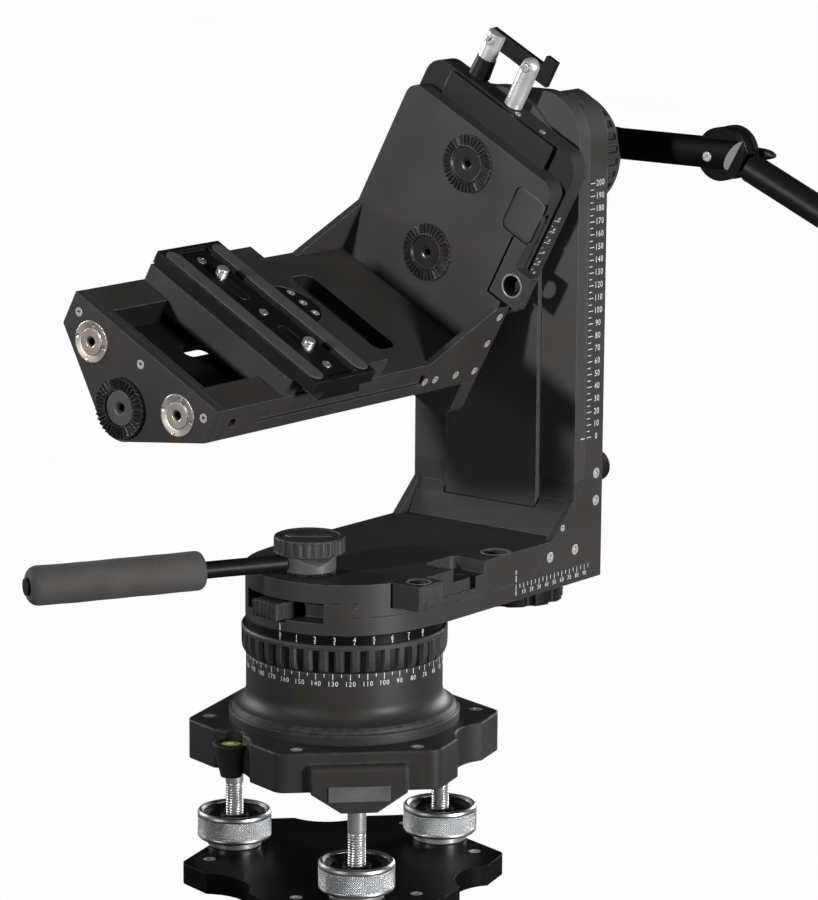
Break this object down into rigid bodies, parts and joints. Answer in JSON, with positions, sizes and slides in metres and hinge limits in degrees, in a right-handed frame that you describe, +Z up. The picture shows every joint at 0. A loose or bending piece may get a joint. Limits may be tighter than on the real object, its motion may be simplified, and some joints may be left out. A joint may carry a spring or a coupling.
{
  "type": "nodal head",
  "caption": "Camera support head with a levelling base, panning arm, sliding upright and tilting camera platform, set so that the camera turns about its lens's nodal point.",
  "frame": {"origin": "on the pan axis, at the underside of the lower plate", "axes": "+Z up along the pan axis, +X along the arm towards the upright, +Y towards the raised side of the platform"},
  "size_m": [0.5661, 0.5261, 0.6426],
  "materials": {
    "black_aluminium": "black anodised, satin",
    "grey_aluminium": "dark grey anodised, satin",
    "steel": "turned",
    "pale_brass": "nickelled brass, turned",
    "level_yellow": "clear cap over coloured liquid",
    "foam": "closed-cell foam",
    "rubber": "ribbed rubber",
    "plate_grey": "bare plate, satin"
  },
  "bodies": {
    "base": {"base_plate": "black_aluminium", "levelling_studs": "steel", "levelling_flange": "grey_aluminium", "base_screws": "steel", "bare_plate": "plate_grey", "base_level": "level_yellow", "pan_drum": "black_aluminium", "pan_spindle": "steel", "pan_bearings": "steel"},
    "nut_front": {"levelling_nut_front": "steel"},
    "nut_right": {"levelling_nut_right": "steel"},
    "nut_left": {"levelling_nut_left": "steel"},
    "turntable": {"turntable": "grey_aluminium", "drag_discs": "steel"},
    "pan_ring": {"pan_drag_ring": "black_aluminium"},
    "pan_brake": {"pan_brake_lever": "black_aluminium"},
    "heel_knob": {"heel_knob": "black_aluminium"},
    "arm": {"arm_plate": "grey_aluminium", "upright": "grey_aluminium", "arm_gussets": "grey_aluminium", "arm_screws": "steel", "arm_level": "level_yellow", "bar_rosette": "black_aluminium"},
    "arm_lever": {"arm_lever": "black_aluminium"},
    "pan_bar": {"bar_collar": "black_aluminium", "pan_bar": "black_aluminium", "pan_bar_grip": "foam"},
    "bar_knob": {"bar_knob": "black_aluminium"},
    "column_knob": {"column_knob": "black_aluminium"},
    "column": {"column_slide": "grey_aluminium", "tilt_housing": "black_aluminium", "tilt_bearings": "steel"},
    "tilt_ring": {"tilt_drag_ring": "black_aluminium"},
    "tilt": {"tilt_plate": "grey_aluminium", "tilt_shaft": "steel"},
    "crank": {"lift_screw": "steel", "crank_hub": "steel", "crank_arm": "black_aluminium"},
    "crank_grip": {"crank_grip": "steel"},
    "handle": {"handle_clamp": "black_aluminium", "handle_tube": "black_aluminium"},
    "handle_bar": {"handle_bar": "black_aluminium", "handle_grip": "foam"},
    "handle_wing": {"handle_wing": "black_aluminium"},
    "platform": {"side_plate": "grey_aluminium", "side_rosettes": "black_aluminium", "bottom_plate": "grey_aluminium", "nose_plate": "grey_aluminium", "nose_rosette": "black_aluminium", "nose_inserts": "pale_brass", "platform_gussets": "grey_aluminium", "platform_screws": "steel", "cross_block": "grey_aluminium", "inset_disc": "black_aluminium", "lift_nut": "pale_brass"},
    "platform_lever": {"platform_lever": "black_aluminium"},
    "camera_slide": {"camera_plate": "grey_aluminium", "camera_pads": "rubber"},
    "camera_screw_rear": {"camera_screw_rear": "steel"},
    "camera_screw_front": {"camera_screw_front": "steel"}
  },
  "joints": [
    {"name": "nut_front_turn", "type": "hinge", "parent": "base", "child": "nut_front", "pos_m": [-0.06576, -0.06576, 0.032], "axis": [0, 0, 1], "continuous": true},
    {"name": "nut_right_turn", "type": "hinge", "parent": "base", "child": "nut_right", "pos_m": [0.08983, -0.02407, 0.032], "axis": [0, 0, 1], "continuous": true},
    {"name": "nut_left_turn", "type": "hinge", "parent": "base", "child": "nut_left", "pos_m": [-0.02407, 0.08983, 0.032], "axis": [0, 0, 1], "continuous": true},
    {"name": "pan", "type": "hinge", "parent": "base", "child": "turntable", "pos_m": [0, 0, 0.2], "axis": [0, 0, 1], "continuous": true},
    {"name": "pan_drag", "type": "hinge", "parent": "turntable", "child": "pan_ring", "pos_m": [0, 0, 0.193], "axis": [0, 0, 1], "range_deg": [0, 80]},
    {"name": "pan_brake", "type": "hinge", "parent": "turntable", "child": "pan_brake", "pos_m": [0, 0, 0.227], "axis": [0, 0, 1], "range_deg": [-15, 20]},
    {"name": "heel_clamp", "type": "hinge", "parent": "turntable", "child": "heel_knob", "pos_m": [0.208, 0, 0.2], "axis": [0, 0, 1], "continuous": true},
    {"name": "arm_slide", "type": "slide", "parent": "turntable", "child": "arm", "axis": [1, 0, 0], "range_m": [0, 0.09]},
    {"name": "arm_clamp", "type": "hinge", "parent": "arm", "child": "arm_lever", "pos_m": [0.052, -0.072, 0.24], "axis": [0, 0, 1], "range_deg": [0, 100]},
    {"name": "pan_bar_swing", "type": "hinge", "parent": "arm", "child": "pan_bar", "pos_m": [-0.042, 0, 0.258], "axis": [0, 0, 1], "range_deg": [-60, 60]},
    {"name": "bar_knob_turn", "type": "hinge", "parent": "pan_bar", "child": "bar_knob", "pos_m": [-0.042, 0, 0.272], "axis": [0, 0, 1], "continuous": true},
    {"name": "column_clamp", "type": "hinge", "parent": "arm", "child": "column_knob", "pos_m": [0.224, -0.064, 0.2958], "axis": [1, 0, 0], "continuous": true},
    {"name": "column_lift", "type": "slide", "parent": "arm", "child": "column", "axis": [0, 0, 1], "range_m": [0, 0.2]},
    {"name": "tilt_drag", "type": "hinge", "parent": "column", "child": "tilt_ring", "pos_m": [0.276, 0, 0.5365], "axis": [1, 0, 0], "range_deg": [0, 80]},
    {"name": "tilt", "type": "hinge", "parent": "column", "child": "tilt", "pos_m": [0.2, 0, 0.5365], "axis": [1, 0, 0], "range_deg": [-118, 62]},
    {"name": "crank_turn", "type": "hinge", "parent": "tilt", "child": "crank", "pos_m": [0.1725, -0.02817, 0.58948], "axis": [0, -0.4695, 0.8829], "range_deg": [0, 180]},
    {"name": "crank_fold", "type": "hinge", "parent": "crank", "child": "crank_grip", "pos_m": [0.1725, -0.00735, 0.63339], "axis": [1, 0, 0], "range_deg": [0, 180]},
    {"name": "handle_set", "type": "hinge", "parent": "tilt", "child": "handle", "pos_m": [0.3012, 0, 0.5365], "axis": [1, 0, 0], "range_deg": [-45, 45]},
    {"name": "handle_fold", "type": "hinge", "parent": "handle", "child": "handle_bar", "pos_m": [0.3012, -0.139, 0.5445], "axis": [1, 0, 0], "range_deg": [-60, 60]},
    {"name": "handle_wing_turn", "type": "hinge", "parent": "handle", "child": "handle_wing", "pos_m": [0.3012, -0.139, 0.5445], "axis": [1, 0, 0], "continuous": true},
    {"name": "platform_lift", "type": "slide", "parent": "tilt", "child": "platform", "axis": [0, -0.4695, 0.8829], "range_m": [-0.03, 0.03]},
    {"name": "platform_clamp", "type": "hinge", "parent": "platform", "child": "platform_lever", "pos_m": [0.15, -0.06128, 0.50052], "axis": [-1, 0, 0], "range_deg": [0, 100]},
    {"name": "camera_travel", "type": "slide", "parent": "platform", "child": "camera_slide", "axis": [0, 0.8829, 0.4695], "range_m": [-0.06, 0.06]},
    {"name": "camera_screw_rear_turn", "type": "hinge", "parent": "camera_slide", "child": "camera_screw_rear", "pos_m": [-0.0465, 0.08297, 0.46736], "axis": [0, -0.4695, 0.8829], "continuous": true},
    {"name": "camera_screw_front_turn", "type": "hinge", "parent": "camera_slide", "child": "camera_screw_front", "pos_m": [-0.0465, -0.00091, 0.42276], "axis": [0, -0.4695, 0.8829], "continuous": true}
  ]
}
